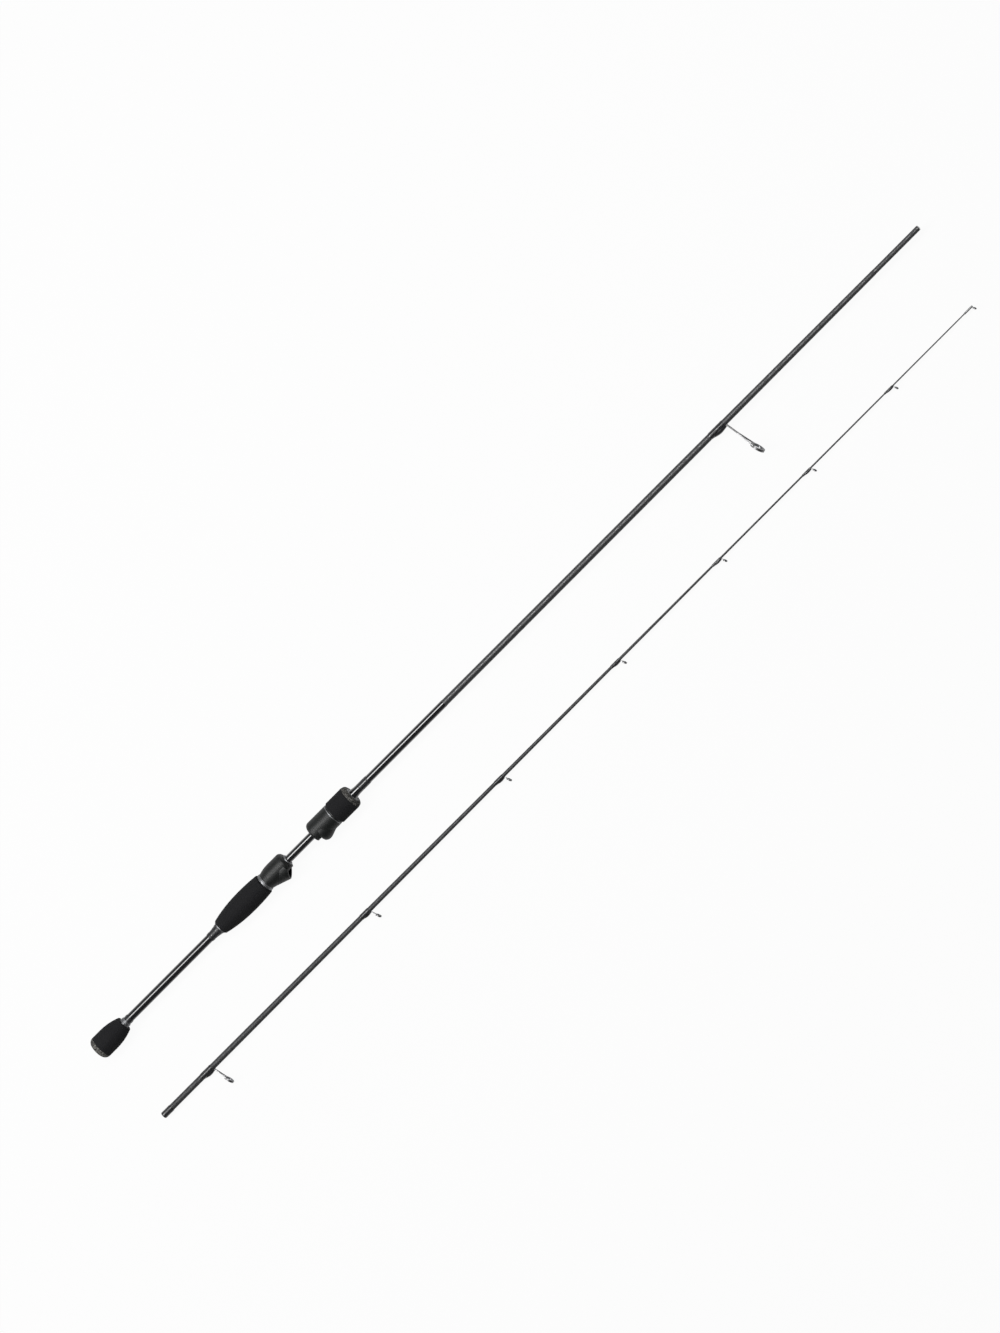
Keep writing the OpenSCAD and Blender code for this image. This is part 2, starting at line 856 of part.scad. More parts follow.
// Line ring with a rounded inside, seated in the frame's band.
module guide_ring_at_origin(g) {
    c = ring_centre(g);
    outer = g[2] / 2 - band_wall(g);
    inner = ring_bore_r(g);
    half = band_len(g) / 2 + 0.15;
    throat = 0.35 * half;
    round_r = half - throat;
    guide_plane(c[0], c[1], ring_lean(g))
        rotate_extrude()
            polygon(concat(
                [[outer, -half]],
                [[outer, half]],
                [for (i = [0:5])
                    let (a = 90 + 90 * i / 5)
                    [inner + round_r + round_r * cos(a), throat + round_r * sin(a)]],
                [for (i = [0:5])
                    let (a = 180 + 90 * i / 5)
                    [inner + round_r + round_r * cos(a), -throat + round_r * sin(a)]]
            ));
}

// Thread and resin over the foot: a band on the blank with a spindle-shaped swelling.
// The children are cut from it, so that it fits the blank and the frame.
module guide_wrap_at_origin(g) {
    r = g[1];
    gauge = g[5];
    x0 = g[0] - g[4] - 3;
    x1 = g[0] - 0.75 * gauge;
    span = x1 - x0;
    steps = 12;
    sunk = 0.45 * gauge + 0.1 * r;
    cover = 1.35 * gauge + 0.2;
    crown = 0.28 * gauge + 0.12 * r;
    difference() {
        union() {
            turned_solid([
                [x0 - 1.2, r], [x0, r + winding_build],
                [x1 - 0.6, r + winding_build], [x1, r + 0.4 * winding_build]
            ]);
            translate([0, -(r - sunk), 0])
                turned_solid([for (i = [0:steps])
                    let (u = i / steps)
                    [x0 + u * span,
                        sunk + cover * sin(90 * min(1, 1.5 * u)) + crown * sin(180 * u)
                            - 0.2 * cover * u * u * u]]);
        }
        children();
    }
}

module guide_1_frame() {
    color(titanium)
        guide_frame_at_origin(guide_1(), stripper_split)
            butt_core();
}

module guide_1_ring() {
    color(ceramic)
        guide_ring_at_origin(guide_1());
}

module guide_1_wrap() {
    color(gloss_black)
        guide_wrap_at_origin(guide_1()) {
            butt_core();
            guide_frame_at_origin(guide_1(), stripper_split);
        }
}

// ---- Tip section ----

// Puts the tip section beside the butt section.
module beside() {
    translate([tip_section_start, -section_gap, tip_axis_z])
        children();
}

module tip_core() {
    turned_solid(tip_outline);
}

module tip_blank() {
    socket_r = spigot_d / 2 + ferrule_clear;
    hollow = [for (p = tip_outline)
        if (p[0] > ferrule_len && p[0] <= tip_hollow_end) [p[0], p[1] - tip_wall]];
    n = len(hollow);
    color(carbon)
        beside()
            turned(concat(
                tip_outline,
                [[tip_section_len, 0], [tip_hollow_end, 0]],
                [for (i = [n - 1:-1:0]) hollow[i]],
                [[ferrule_len, tip_r(ferrule_len) - tip_wall], [ferrule_len, socket_r], [0, socket_r]]
            ));
}

module socket_winding() {
    length = 11;
    color(gloss_black)
        beside()
            difference() {
                turned_solid([
                    [0, tip_r(0)], [0.8, tip_r(0) + winding_build],
                    [length - 1.2, tip_r(length) + winding_build], [length, tip_r(length)]
                ]);
                tip_core();
            }
}

module forked_guide_frame(i) {
    color(titanium)
        beside()
            guide_frame_at_origin(tip_guide(i), fork_split)
                tip_core();
}

module micro_guide_frame(i) {
    color(titanium)
        beside()
            micro_frame_at_origin(tip_guide(i))
                tip_core();
}

module tip_guide_ring(i) {
    color(ceramic)
        beside()
            guide_ring_at_origin(tip_guide(i));
}

module tip_guide_wrap(i) {
    color(gloss_black)
        beside()
            guide_wrap_at_origin(tip_guide(i)) {
                tip_core();
                if (i == 0) guide_frame_at_origin(tip_guide(i), fork_split);
                else micro_frame_at_origin(tip_guide(i));
            }
}

// Tip-top: a tube glued over the blank's end, with a strap that carries a leaning ring.
module tip_top_frame() {
    strap_w = 1;
    root = 0.5;
    gauge = tip_top[5];
    color(titanium)
        beside()
            difference() {
                union() {
                    turned_solid([
                        [tip_top_x, tip_top_r], [tip_section_len + tip_top_end - 0.3, tip_top_r],
                        [tip_section_len + tip_top_end, tip_top_r - 0.3]
                    ]);
                    guide_plane(tip_top[0], -tip_top[1], tip_top_lean)
                        translate([-strap_w / 2, -root, -gauge / 2])
                            cube([strap_w, root + rise(tip_top) - 0.4 * tip_top_ring_d, gauge]);
                    guide_band(tip_top);
                }
                guide_band_bore(tip_top);
                tip_core();
            }
}

module tip_top_ring() {
    color(ceramic)
        beside()
            guide_ring_at_origin(tip_top);
}

butt_cap();
butt_grip();
butt_check();
butt_winding();
handle_tube();
grip_cone();
grip_check();
rear_grip();
trim_ring();
rear_hood();
rear_hood_ring();
thread_barrel();
front_hood();
hood_ring();
lock_nut();
foregrip();
foregrip_cap();
foregrip_check();
front_cone();
front_winding();
butt_blank();
spigot_plug();
guide_1_frame();
guide_1_ring();
guide_1_wrap();
tip_blank();
socket_winding();
forked_guide_frame(0);  // guide_2_frame
tip_guide_ring(0);  // guide_2_ring
tip_guide_wrap(0);  // guide_2_wrap
micro_guide_frame(1);  // guide_3_frame
tip_guide_ring(1);  // guide_3_ring
tip_guide_wrap(1);  // guide_3_wrap
micro_guide_frame(2);  // guide_4_frame
tip_guide_ring(2);  // guide_4_ring
tip_guide_wrap(2);  // guide_4_wrap
micro_guide_frame(3);  // guide_5_frame
tip_guide_ring(3);  // guide_5_ring
tip_guide_wrap(3);  // guide_5_wrap
micro_guide_frame(4);  // guide_6_frame
tip_guide_ring(4);  // guide_6_ring
tip_guide_wrap(4);  // guide_6_wrap
micro_guide_frame(5);  // guide_7_frame
tip_guide_ring(5);  // guide_7_ring
tip_guide_wrap(5);  // guide_7_wrap
micro_guide_frame(6);  // guide_8_frame
tip_guide_ring(6);  // guide_8_ring
tip_guide_wrap(6);  // guide_8_wrap
tip_top_frame();
tip_top_ring();
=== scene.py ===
"""Looks of a take-apart spinning rod, laid on its construction frame.

The butt section lies along +X with its guides and reel side facing -Y, and the tip section lies
beside it. Each operator dresses or builds one group of like pieces, and main() runs them in order.
"""

import json
import math

import bmesh
import bpy
from bpy.props import FloatProperty, FloatVectorProperty, IntProperty, PointerProperty
from mathutils import Matrix, Vector


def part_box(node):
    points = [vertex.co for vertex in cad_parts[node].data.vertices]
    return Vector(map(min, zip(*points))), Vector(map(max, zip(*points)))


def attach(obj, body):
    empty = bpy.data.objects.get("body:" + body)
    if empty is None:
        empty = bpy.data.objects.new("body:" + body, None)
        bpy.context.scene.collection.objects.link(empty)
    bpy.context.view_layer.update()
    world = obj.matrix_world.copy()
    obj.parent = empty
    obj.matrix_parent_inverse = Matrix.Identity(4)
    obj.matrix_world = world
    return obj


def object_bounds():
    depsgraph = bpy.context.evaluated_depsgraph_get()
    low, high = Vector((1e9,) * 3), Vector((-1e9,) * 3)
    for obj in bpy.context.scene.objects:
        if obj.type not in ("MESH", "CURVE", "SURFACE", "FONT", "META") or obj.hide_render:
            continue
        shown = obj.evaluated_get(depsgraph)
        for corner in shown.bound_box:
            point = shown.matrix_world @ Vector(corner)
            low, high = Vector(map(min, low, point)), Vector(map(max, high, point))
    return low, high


bl_info = {
    "name": "Spinning rod",
    "version": (1, 0, 0),
    "blender": (4, 5, 0),
    "location": "3D View > Sidebar > Rod",
    "description": "Dresses the frame of a take-apart spinning rod",
    "category": "Object",
}

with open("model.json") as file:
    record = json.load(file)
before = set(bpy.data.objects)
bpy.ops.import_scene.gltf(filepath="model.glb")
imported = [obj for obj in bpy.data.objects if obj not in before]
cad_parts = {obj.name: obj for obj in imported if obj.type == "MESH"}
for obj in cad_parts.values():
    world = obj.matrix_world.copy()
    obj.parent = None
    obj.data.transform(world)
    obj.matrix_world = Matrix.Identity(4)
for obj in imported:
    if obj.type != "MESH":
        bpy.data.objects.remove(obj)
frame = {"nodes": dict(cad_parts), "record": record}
CAD_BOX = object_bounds()

MM = 0.001
SENSOR = 36  # millimetres, as wide as the camera's film
HORIZON = 40  # metres from the middle of the floor to its edges
FLOOR_GAP = 0.3 * MM  # between the lowest point of the rod and the floor
BARE_END = 0.4 * MM  # of each winding, where its resin tapers off without thread


def nodes_in(slot):
    """The frame's nodes that take their finish from that material slot."""
    return [part["node"] for part in frame["record"]["subparts"] if part["material_slot"] == slot]


def body_of(node):
    """The body that a node of the frame moves with."""
    bodies = frame["record"]["behaviour"]["bodies"]
    return next(body for body, nodes in bodies.items() if node in nodes)


def axis_of(node):
    """Y and Z, in millimetres, of the long axis that runs through the middle of a round node."""
    low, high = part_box(node)
    return (low.y + high.y) / 2 / MM, (low.z + high.z) / 2 / MM


BUTT_AXIS = axis_of("handle_tube")
TIP_AXIS = axis_of("tip_blank")
CAD_LENGTH = (CAD_BOX[1].x - CAD_BOX[0].x) / MM
REEL_BAY = [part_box(node)[1].x / MM for node in ("trim_ring", "rear_hood")]


# ---- Settings ----

def colour(name, description, default):
    """A colour setting."""
    return FloatVectorProperty(
        name=name, description=description, default=default, subtype="COLOR", min=0, max=1
    )


class RodFinishes(bpy.types.PropertyGroup):
    """Colours of the rod's finishes."""

    foam: colour("Foam", "Closed-cell foam of the grips", (0.0062, 0.0062, 0.0070))
    cork: colour("Rubber cork", "Pale grain of the end caps", (0.170, 0.164, 0.152))
    cork_dark: colour("Cork grain", "Dark grain of the end caps", (0.014, 0.0135, 0.0125))
    metal: colour("Bright rings", "Satin aluminium rings", (0.30, 0.305, 0.315))
    lacquer: colour("Lacquer", "Gloss lacquer of tube and cones", (0.005, 0.005, 0.006))
    # carbon and carbon_dark also bound the painted sheen of the blanks' tape blotches
    carbon: colour("Carbon", "Bright strands of the blanks' cloth", (0.045, 0.046, 0.049))
    carbon_dark: colour("Carbon shade", "Dark strands of the cloth", (0.006, 0.006, 0.007))
    plastic: colour("Soft plastic", "Soft-touch hoods", (0.0075, 0.0084, 0.0082))
    titanium: colour("Titanium", "Guide frames", (0.29, 0.29, 0.295))
    ceramic: colour("Ceramic", "Line rings", (0.11, 0.114, 0.122))


class RodWindings(bpy.types.PropertyGroup):
    """Thread of the windings."""

    thread: FloatProperty(
        name="Thread", description="Diameter of the thread", default=0.25 * MM,
        min=0.1 * MM, max=0.6 * MM, subtype="DISTANCE", unit="LENGTH",
    )
    sunk: FloatProperty(
        name="Sunk", description="Share of the thread's radius that lies under the resin",
        default=0.7, min=0, max=1, subtype="FACTOR",
    )
    sides: IntProperty(
        name="Sides", description="Points round each turn of thread", default=24, min=8, max=64
    )


class RodStage(bpy.types.PropertyGroup):
    """Camera, floor and lamps."""

    tilt: FloatProperty(
        name="Tilt", description="Camera's lean from straight above towards the tip",
        default=math.radians(15), subtype="ANGLE", unit="ROTATION",
    )
    turn: FloatProperty(
        name="Turn", description="Angle of the rod across the view",
        default=math.radians(45.06), subtype="ANGLE", unit="ROTATION",
    )
    lens: FloatProperty(
        name="Lens", description="Focal length of the camera in millimetres", default=1200
    )
    view_height: FloatProperty(
        name="View height", description="Length that the view's long side covers",
        default=1.1384, subtype="DISTANCE", unit="LENGTH",
    )
    centre: FloatVectorProperty(
        name="Centre", description="Middle of the view: its place along the rod and across it",
        default=(0.4937, -0.0117), size=2, subtype="XYZ", unit="LENGTH",
    )
    floor_tone: FloatProperty(
        name="Floor tone", description="Paleness of the floor",
        default=0.6, min=0, max=1, subtype="FACTOR",
    )
    floor_lift: FloatProperty(
        name="Floor lift", description="How far the floor is lifted to white",
        default=0.95, min=0, max=1, subtype="FACTOR",
    )
    floor_mirror: FloatProperty(
        name="Floor mirror", description="How far reflections see the floor lifted to white",
        default=0.42, min=0, max=1, subtype="FACTOR",
    )
    strip_power: FloatProperty(
        name="Strip lamp", description="Watts of the long lamp beside the rod", default=45
    )
    soft_power: FloatProperty(
        name="Soft lamp", description="Watts of the large lamp overhead", default=10
    )
    surround: FloatProperty(
        name="Surroundings", description="Light from all round", default=0.06, min=0, max=1
    )


# ---- Node trees ----

class Value:
    """One output inside a node tree. Plain arithmetic on it adds the tree's Math nodes."""

    def __init__(self, graph, socket):
        self.graph = graph
        self.socket = socket

    def output(self, name):
        """Another output of the same node."""
        return Value(self.graph, self.socket.node.outputs[name])

    def maths(self, operation, *others):
        """A Math node with this value first."""
        return self.graph.maths(operation, self, *others)

    def __add__(self, other):
        return self.maths("ADD", other)

    def __sub__(self, other):
        return self.maths("SUBTRACT", other)

    def __rsub__(self, other):
        return self.graph.maths("SUBTRACT", other, self)

    def __mul__(self, other):
        return self.maths("MULTIPLY", other)

    def __truediv__(self, other):
        return self.maths("DIVIDE", other)

    def __pow__(self, other):
        return self.maths("POWER", other)

    __radd__ = __add__
    __rmul__ = __mul__

    def zigzag(self):
        """0 at each whole number and 1 half-way between."""
        return self.maths("PINGPONG", 0.5) * 2

    def between(self, low, high):
        """Low where the value is 0, high where it is 1."""
        return self * (high - low) + low


class Graph:
    """A node tree, built by calls that each give the output which the next ones use."""

    def __init__(self, tree):
        self.tree = tree
        tree.nodes.clear()

    def feed(self, socket, value):
        """Links a value to an input, or sets the input to a plain number, colour or object."""
        if isinstance(value, Value):
            self.tree.links.new(value.socket, socket)
        elif socket.type == "RGBA" and len(value) == 3:
            socket.default_value = (*value, 1)
        else:
            socket.default_value = value

    def node(self, kind, inputs=None, output=0, **settings):
        """Makes a node and gives one of its outputs. Inputs and output are named or numbered."""
        made = self.tree.nodes.new(kind)
        for name, setting in settings.items():
            setattr(made, name, setting)
        for name, value in (inputs or {}).items():
            self.feed(made.inputs[name], value)
        return Value(self, made.outputs[output]) if made.outputs else made

    def maths(self, operation, *values):
        """A Math node."""
        return self.node("ShaderNodeMath", dict(enumerate(values)), operation=operation)

    def vector(self, operation, *values, scale=None):
        """A Vector Math node."""
        inputs = dict(enumerate(values))
        if scale is not None:
            inputs["Scale"] = scale
        return self.node("ShaderNodeVectorMath", inputs, operation=operation)

    def join(self, x=0.0, y=0.0, z=0.0):
        """A vector of three numbers."""
        return self.node("ShaderNodeCombineXYZ", {"X": x, "Y": y, "Z": z})


class Finish(Graph):
    """A material of one shader, fed by patterns in the piece's own millimetres."""

    def __init__(self, name, **constants):
        self.material = bpy.data.materials.new(name)
        self.material.use_nodes = True
        super().__init__(self.material.node_tree)
        self.shader = self.tree.nodes.new("ShaderNodeBsdfPrincipled")
        self.surface = self.tree.nodes.new("ShaderNodeOutputMaterial").inputs["Surface"]
        self.tree.links.new(self.shader.outputs["BSDF"], self.surface)
        self.set(**constants)
        place = self.node("ShaderNodeTexCoord", output="Object")
        self.mm = self.vector("SCALE", place, scale=1 / MM)
        self.x = self.node("ShaderNodeSeparateXYZ", {"Vector": self.mm}, "X")
        self.y, self.z = self.x.output("Y"), self.x.output("Z")

    def set(self, **inputs):
        """Feeds the shader's inputs, each named in lower case with _ for a space."""
        sockets = {socket.name.lower().replace(" ", "_"): socket for socket in self.shader.inputs}
        for name, value in inputs.items():
            self.feed(sockets[name], value)

    def noise(self, size, detail=2.0, where=None):
        """Smooth noise from 0 to 1 with features about that many millimetres wide."""
        return self.node("ShaderNodeTexNoise", {
            "Vector": where or self.mm, "Scale": 1 / size, "Detail": detail,
        }, "Fac")

    def cells(self, size, where=None):
        """Distance from the middle of the nearest of many cells of about that size."""
        return self.node("ShaderNodeTexVoronoi", {
            "Vector": where or self.mm, "Scale": 1 / size,
        }, "Distance")

    def flecks(self, size, where=None):
        """One number from 0 to 1 for the whole of each cell."""
        tint = self.cells(size, where).output("Color")
        return self.node("ShaderNodeSeparateColor", {"Color": tint}, "Red")

    def step(self, value, low, high):
        """Rises smoothly from 0 where the value is low to 1 where it is high."""
        return self.node("ShaderNodeMapRange", {
            "Value": value, "From Min": low, "From Max": high,
        }, "Result", interpolation_type="SMOOTHSTEP")

    def blend(self, share, low, high):
        """A colour between low and high."""
        return self.node("ShaderNodeMix", {0: share, 6: low, 7: high}, 2, data_type="RGBA")

    def bump(self, height, depth):
        """Raises the surface by the height, whose whole range is that many millimetres."""
        self.set(normal=self.node("ShaderNodeBump", {
            "Height": height, "Distance": depth * MM, "Strength": 1.0,
        }))

    def radius(self, axis):
        """Distance from an axis along X, in millimetres."""
        across, up = self.y - axis[0], self.z - axis[1]
        return (across * across + up * up) ** 0.5

    def coiled(self, axis, lay):
        """Places turned about an axis along X by a full turn for each lay of length, so that
        whatever runs along them coils round the axis. Lengthwise they are drawn out."""
        across, up = self.y - axis[0], self.z - axis[1]
        angle = self.x * (math.tau / lay)
        cosine, sine = self.maths("COSINE", angle), self.maths("SINE", angle)
        drawn_out = 0.2
        return self.join(
            self.x * drawn_out, across * cosine - up * sine, across * sine + up * cosine
        )

    def turn(self, axis):
        """How far round an axis along X, from 0 to 1."""
        across, up = self.y - axis[0], self.z - axis[1]
        return self.maths("ARCTAN2", up, across) / math.tau + 0.5


def scaled(tint, share):
    """A colour that many times as bright."""
    return tuple(min(1.0, share * part) for part in tint)


# ---- Finishes ----

def foam_finish(colours):
    """Matte closed-cell foam: tiny cut cells, ground to a faintly mottled skin."""
    foam = Finish("Foam", specular_ior_level=0.2)
    cell, patch, dent = 0.5, 7, 1.5
    cells = foam.cells(cell)
    patches = foam.noise(patch, 3)
    foam.set(
        base_color=foam.blend(
            patches * 0.5 + cells * 0.7, scaled(colours.foam, 0.7), scaled(colours.foam, 1.7)
        ),
        roughness=patches.between(0.72, 0.92),
    )
    foam.bump(cells + foam.noise(dent, 3) * 0.8, 0.14)
    return foam.material


def cork_finish(colours):
    """Crumbs of cork and rubber pressed together."""
    cork = Finish("Rubber cork", specular_ior_level=0.3)
    crumb = 0.9
    ragged = cork.vector("ADD", cork.mm, cork.noise(crumb, 3).output("Color"))
    crumbs = cork.flecks(crumb, ragged)
    dust = cork.noise(crumb / 2, 3)
    cork.set(
        base_color=cork.blend(
            (crumbs ** 1.6) * 0.9 + dust * 0.3 - 0.1, colours.cork_dark, colours.cork
        ),
        roughness=crumbs.between(0.9, 0.65),
    )
    cork.bump(cork.cells(crumb, ragged) + dust * 0.4, 0.12)
    return cork.material


def bright_finish(colours):
    """Satin aluminium with fine turning marks that run round the rod."""
    metal = Finish("Bright rings", metallic=1.0)
    marks = metal.noise(0.06, 1, metal.join(metal.x, metal.radius(BUTT_AXIS)))
    metal.set(
        base_color=metal.blend(
            metal.noise(3) * 0.6 + marks * 0.4, scaled(colours.metal, 0.75), colours.metal
        ),
        roughness=marks.between(0.42, 0.6),
    )
    metal.bump(marks, 0.004)
    return metal.material


def lacquer_finish(colours):
    """Deep black gloss with the faintest flake, in a fuller coat from the reel's bay forward."""
    lacquer = Finish(
        "Gloss lacquer", ior=1.8, specular_ior_level=0.5, coat_roughness=0.05, coat_ior=1.5
    )
    flakes = lacquer.flecks(0.2) ** 6
    smears = lacquer.noise(14, 3)
    lacquer.set(
        base_color=lacquer.blend(flakes, colours.lacquer, scaled(colours.lacquer, 5)),
        roughness=smears.between(0.08, 0.2),
        coat_weight=lacquer.step(lacquer.x, *REEL_BAY).between(0.3, 1.0),
    )
    lacquer.bump(lacquer.noise(4, 1), 0.008)
    return lacquer.material


def cone_finish(colours):
    """Satin black rubber lacquer that pooled here and there into glossy spots."""
    cone = Finish("Satin cone", ior=1.6, coat_roughness=0.06, coat_ior=1.6)
    pools = cone.step(cone.noise(1.7, 1), 0.5, 0.62)
    grain = cone.noise(0.3, 2)
    cone.set(
        base_color=cone.blend(grain, colours.lacquer, scaled(colours.lacquer, 3)),
        roughness=grain.between(0.4, 0.56) - pools * 0.2,
        coat_weight=pools * 0.6,
    )
    cone.bump(grain * 0.4 + pools, 0.02)
    return cone.material


def carbon_finish(name, colours, axis, radius, ior, dullness, blotches):
    """Satin carbon cloth under a shrink-tape finish: fine slanting strands, and the slow
    spiral that the tape left, which takes the light in blotches; those blotches are also painted
    into the colour as sheen. The surface is as dull as the two numbers say at the rod's rear
    and front, give or take the blotches."""
    carbon = Finish(name, ior=ior, specular_ior_level=0.6)
    turn = carbon.turn(axis)
    strand, tape_pitch, tape_wander, streak_width, lay = 0.8, 9.5, 25, 1.6, 20
    around = turn * round(math.tau * radius / strand)
    twill = (carbon.x / strand + around).zigzag()
    crossed = (carbon.x / strand - around).zigzag()
    weave = carbon.maths("MAXIMUM", twill * 0.7, crossed)
    tape = (carbon.x / tape_pitch + turn + carbon.noise(tape_wander, 1) * 2).zigzag()
    streak = carbon.step(carbon.noise(streak_width, 2, carbon.coiled(axis, lay)), 0.35, 0.65)
    cloud = tape * 0.45 + streak * 0.55
    carbon.set(
        # the cloud's blotches and streaks also lighten the colour where the cloth is glossier:
        # painted sheen
        base_color=carbon.blend(weave * 0.45 + cloud * 0.6, colours.carbon_dark, colours.carbon),
        roughness=(carbon.x / CAD_LENGTH).between(*dullness)
        + (0.5 - cloud) * blotches + weave * 0.05,
    )
    carbon.bump(weave * 0.5 + tape + streak * 0.6, 0.03)
    return carbon.material


def plastic_finish(colours):
    """Soft-touch moulding: a very fine grain, dulled unevenly by hands."""
    plastic = Finish("Soft plastic", specular_ior_level=0.42)
    grain = plastic.noise(0.22, 3)
    worn = plastic.noise(8, 3)
    plastic.set(
        base_color=plastic.blend(
            worn * 0.7 + grain * 0.3, scaled(colours.plastic, 0.7), scaled(colours.plastic, 1.15)
        ),
        roughness=grain.between(0.41, 0.51) + worn * 0.05,
    )
    plastic.bump(grain, 0.02)
    return plastic.material


def titanium_finish(colours):
    """Satin titanium, brushed along the frames' legs."""
    metal = Finish("Titanium", metallic=1.0)
    brushed = metal.noise(0.12, 2, metal.join(metal.x, metal.y * 0.08, metal.z))
    metal.set(
        base_color=metal.blend(brushed, scaled(colours.titanium, 0.75), colours.titanium),
        roughness=brushed.between(0.36, 0.54),
    )
    metal.bump(brushed, 0.008)
    return metal.material


def ceramic_finish(colours):
    """Dense polished ceramic."""
    ceramic = Finish("Ceramic", ior=2.0, specular_ior_level=0.5)
    cloud = ceramic.noise(1.2, 3)
    ceramic.set(
        base_color=ceramic.blend(cloud, colours.ceramic, scaled(colours.ceramic, 1.6)),
        roughness=cloud.between(0.08, 0.2),
    )
    return ceramic.material


def resin_finish(name, colours, thread):
    """Dark thread under thin clear resin: fine ribs below a soft gloss, brighter where the
    resin pooled, through a fuller coat and through colour painted lighter there as sheen."""
    resin = Finish(name, ior=1.55, specular_ior_level=0.5, coat_roughness=0.07, coat_ior=1.6)
    ribs = (resin.x / (thread / MM)).zigzag()
    pooled = resin.noise(3, 2)
    resin.set(
        # pooled lightens the colour too: painted sheen where the resin's coat is fuller
        base_color=resin.blend(
            ribs * 0.7 + pooled * 0.3, colours.lacquer, scaled(colours.lacquer, 3.5)
        ),
        roughness=ribs.between(0.5, 0.36),
        coat_weight=resin.step(pooled, 0.4, 0.62).between(0.3, 1.0),
    )
    resin.bump(ribs, 0.03)
    return resin.material


def dress(nodes, material):
    """Gives nodes of the frame their finish."""
    for node in nodes:
        slots = frame["nodes"][node].data.materials
        slots.clear()
        slots.append(material)


# ---- Windings ----

THREAD_INPUTS = {
    "Wrapped": "NodeSocketObject",
    "From": "NodeSocketFloat",
    "To": "NodeSocketFloat",
    "Axis": "NodeSocketVector",
    "Reach": "NodeSocketFloat",
    "Thread": "NodeSocketFloat",
    "Sunk": "NodeSocketFloat",
    "Sides": "NodeSocketInt",
    "Finish": "NodeSocketMaterial",
}


def thread_turns():
    """A tree that lays turns of thread side by side on a wrapped piece, and its input names."""
    tree = bpy.data.node_groups.new("Thread turns", "GeometryNodeTree")
    names = {
        name: tree.interface.new_socket(name, in_out="INPUT", socket_type=kind).identifier
        for name, kind in THREAD_INPUTS.items()
    }
    tree.interface.new_socket("Geometry", in_out="OUTPUT", socket_type="NodeSocketGeometry")
    graph = Graph(tree)
    given = graph.node("NodeGroupInput")
    thread, reach, axis = given.output("Thread"), given.output("Reach"), given.output("Axis")
    half = thread / 2

    # upright circles of points, one for each turn
    turns = graph.node("GeometryNodeMeshLine", {
        "Count": (given.output("To") - given.output("From")) / thread,
        "Start Location": graph.vector("ADD", graph.join(given.output("From") + half), axis),
        "Offset": graph.join(thread),
    })
    circle = graph.node("GeometryNodeCurvePrimitiveCircle", {
        "Resolution": given.output("Sides"), "Radius": reach,
    })
    upright = graph.node("GeometryNodeTransform", {
        "Geometry": circle, "Rotation": (0, math.pi / 2, 0),
    })
    circles = graph.node("GeometryNodeInstanceOnPoints", {"Points": turns, "Instance": upright})
    circles = graph.node("GeometryNodeRealizeInstances", {"Geometry": circles})

    # each point drops on the winding, and its thread sinks into the resin
    place = graph.node("GeometryNodeInputPosition")
    along = graph.node("ShaderNodeSeparateXYZ", {"Vector": place}, "X")
    middle = graph.vector("ADD", graph.join(along), axis)
    inward = graph.vector("NORMALIZE", graph.vector("SUBTRACT", middle, place))
    wrapped = graph.node("GeometryNodeObjectInfo", {"Object": given.output("Wrapped")}, "Geometry")
    hit = graph.node("GeometryNodeRaycast", {
        "Target Geometry": wrapped, "Source Position": place,
        "Ray Direction": inward, "Ray Length": reach,
    })
    sunk = graph.vector("SCALE", inward, scale=half * given.output("Sunk"))
    laid = graph.node("GeometryNodeSetPosition", {
        "Geometry": circles,
        "Position": graph.vector("ADD", hit.output("Hit Position"), sunk),
    })

    # a thread of three sides along each turn
    profile = graph.node("GeometryNodeCurvePrimitiveCircle", {"Resolution": 3, "Radius": half})
    mesh = graph.node("GeometryNodeCurveToMesh", {"Curve": laid, "Profile Curve": profile})
    whole = graph.node("GeometryNodeRealizeInstances", {"Geometry": mesh})
    dressed = graph.node("GeometryNodeSetMaterial", {
        "Geometry": whole, "Material": given.output("Finish"),
    })
    graph.node("NodeGroupOutput", {0: dressed})
    return tree, names


def turns_over(node, tree, names, settings, material):
    """A mesh of the turns of thread over one winding of the frame."""
    low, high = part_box(node)
    axis = BUTT_AXIS if body_of(node) == "butt_section" else TIP_AXIS
    centre = Vector((0, axis[0] * MM, axis[1] * MM))
    widest = max(abs(corner[i] - centre[i]) for corner in (low, high) for i in (1, 2))
    carrier = bpy.data.objects.new(node + "_carrier", bpy.data.meshes.new(node + "_carrier"))
    bpy.context.scene.collection.objects.link(carrier)
    modifier = carrier.modifiers.new("Thread", "NODES")
    modifier.node_group = tree
    for name, value in {
        "Wrapped": frame["nodes"][node], "From": low.x + BARE_END, "To": high.x - BARE_END,
        "Axis": centre, "Reach": 1.2 * widest, "Thread": settings.thread,
        "Sunk": settings.sunk, "Sides": settings.sides, "Finish": material,
    }.items():
        modifier[names[name]] = value
    evaluated = carrier.evaluated_get(bpy.context.evaluated_depsgraph_get())
    mesh = bpy.data.meshes.new_from_object(evaluated)
    bpy.data.objects.remove(carrier)
    if not mesh.polygons:
        raise RuntimeError(f"no thread was laid on {node}")
    return mesh


def joined(name, meshes):
    """One object that holds all those meshes, with its faces outwards."""
    gathered = bmesh.new()
    for mesh in meshes:
        gathered.from_mesh(mesh)
    bmesh.ops.recalc_face_normals(gathered, faces=gathered.faces)
    result = bpy.data.meshes.new(name)
    gathered.to_mesh(result)
    gathered.free()
    result.materials.append(meshes[0].materials[0])
    result.shade_smooth()
    piece = bpy.data.objects.new(name, result)
    bpy.context.scene.collection.objects.link(piece)
    return piece


# ---- Stage ----

def placed(spot, right, up, back):
    """The place of an object at that spot, by the directions of its X, Y and Z."""
    return Matrix.Translation(spot) @ Matrix((right, up, back)).transposed().to_4x4()


